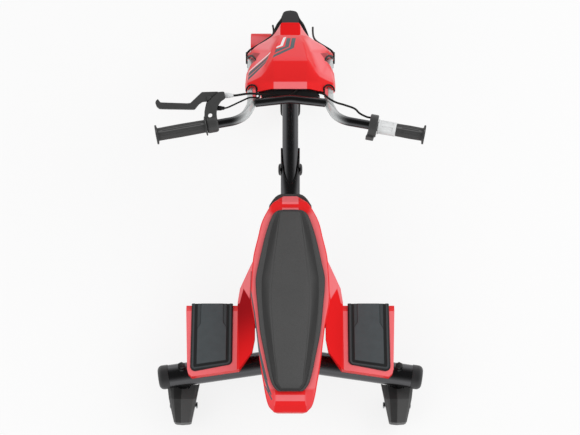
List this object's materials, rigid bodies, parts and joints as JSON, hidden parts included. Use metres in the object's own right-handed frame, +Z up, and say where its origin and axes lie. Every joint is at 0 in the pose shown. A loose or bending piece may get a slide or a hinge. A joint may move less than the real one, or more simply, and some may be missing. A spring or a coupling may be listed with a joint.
{
  "type": "drift trike",
  "caption": "Low battery drift trike: driven front wheel in a raked fork with handlebar and fairing, long padded seat, foot boards either side and leaning swivel casters at the rear.",
  "frame": {"origin": "on the ground under the middle of the bounding box", "axes": "+X to the rider's right, +Y forward, +Z up"},
  "size_m": [0.695, 1.156, 0.6275],
  "materials": {
    "red_plastic": "glossy moulded plastic",
    "black_tube": "gloss black paint",
    "black_plastic": "satin",
    "black_rubber": "soft matte",
    "tyre": "matte",
    "pad": "textured foam skin",
    "grey_plastic": "satin",
    "steel": "zinc plated",
    "jacket": "satin cable jacket"
  },
  "bodies": {
    "frame": {"rear_tube": "black_tube", "tube_cap_left": "black_plastic", "tube_cap_right": "black_plastic", "spine_tube": "black_tube", "main_tube": "black_tube", "frame_bolt": "black_plastic", "bolt_cap_right": "black_plastic", "headset_cup_upper": "steel", "headset_cup_lower": "steel", "seat_shell": "red_plastic", "seat_pad": "pad", "seat_base": "black_plastic", "battery_pack": "grey_plastic", "foot_board_left": "red_plastic", "foot_board_right": "red_plastic", "foot_mat_left": "black_rubber", "foot_mat_right": "black_rubber", "board_strut_left": "black_tube", "board_strut_right": "black_tube", "kingpin_left": "steel", "kingpin_right": "steel"},
    "steering": {"steering_stem": "black_tube", "crown_upper": "black_tube", "fork_leg_left": "black_tube", "fork_leg_right": "black_tube", "crossbar": "black_tube", "front_axle": "steel", "fairing": "red_plastic", "fairing_trim_left": "black_plastic", "fairing_trim_right": "black_plastic", "dash_panel": "black_plastic", "front_mudguard": "black_plastic", "grip_left": "black_rubber", "grip_right": "black_rubber", "throttle_housing": "black_plastic", "throttle_wire": "jacket", "brake_bracket": "black_plastic", "lever_pin": "steel", "cable_adjuster": "steel", "brake_cable": "jacket", "cutoff_switch": "jacket", "drive_cover": "red_plastic", "motor": "steel", "brake_backplate": "black_plastic"},
    "throttle": {"throttle_sleeve": "grey_plastic"},
    "lever": {"brake_lever": "black_plastic"},
    "button": {"power_button": "black_plastic"},
    "front_wheel": {"front_rim": "black_plastic", "front_tyre": "tyre", "drive_gear": "black_plastic", "brake_drum": "steel"},
    "pinion": {"motor_pinion": "steel"},
    "arm": {"brake_arm": "steel"},
    "caster_left": {"caster_hood_left": "black_plastic", "caster_axle_left": "steel"},
    "caster_right": {"caster_hood_right": "black_plastic", "caster_axle_right": "steel"},
    "roller_left": {"caster_wheel_left": "tyre"},
    "roller_right": {"caster_wheel_right": "tyre"}
  },
  "joints": [
    {"name": "steer", "type": "hinge", "parent": "frame", "child": "steering", "pos_m": [0, 0.438, 0.14], "axis": [0, -0.3567, 0.9342], "range_deg": [-40, 40]},
    {"name": "throttle_twist", "type": "hinge", "parent": "steering", "child": "throttle", "pos_m": [0.23, 0.05367, 0.6], "axis": [0.9816, -0.1908, 0], "range_deg": [0, 30], "stiffness_Nm_per_rad": 0.05},
    {"name": "lever_pull", "type": "hinge", "parent": "steering", "child": "lever", "pos_m": [-0.197, 0.127, 0.606], "axis": [0, 0, 1], "range_deg": [0, 16], "stiffness_Nm_per_rad": 0.3},
    {"name": "button_press", "type": "slide", "parent": "steering", "child": "button", "axis": [0, 1, 0], "range_m": [0, 0.002], "stiffness_N_per_m": 100},
    {"name": "front_spin", "type": "hinge", "parent": "steering", "child": "front_wheel", "pos_m": [0, 0.438, 0.14], "axis": [1, 0, 0], "continuous": true},
    {"name": "pinion_spin", "type": "hinge", "parent": "steering", "child": "pinion", "pos_m": [-0.06, 0.463, 0.225], "axis": [1, 0, 0], "continuous": true},
    {"name": "arm_turn", "type": "hinge", "parent": "steering", "child": "arm", "pos_m": [0.078, 0.414, 0.155], "axis": [1, 0, 0], "range_deg": [0, 10]},
    {"name": "swivel_left", "type": "hinge", "parent": "frame", "child": "caster_left", "pos_m": [-0.283, -0.44279, 0.12723], "axis": [0, 0.3746, 0.9272], "continuous": true},
    {"name": "swivel_right", "type": "hinge", "parent": "frame", "child": "caster_right", "pos_m": [0.283, -0.44279, 0.12723], "axis": [0, 0.3746, 0.9272], "continuous": true},
    {"name": "roll_left", "type": "hinge", "parent": "caster_left", "child": "roller_left", "pos_m": [-0.283, -0.50621, 0.045], "axis": [1, 0, 0], "continuous": true},
    {"name": "roll_right", "type": "hinge", "parent": "caster_right", "child": "roller_right", "pos_m": [0.283, -0.50621, 0.045], "axis": [1, 0, 0], "continuous": true}
  ],
  "couplings": [
    {"joint": "pinion_spin", "follows": "front_spin", "ratio": -4.3636},
    {"joint": "arm_turn", "follows": "lever_pull", "ratio": 0.6}
  ]
}
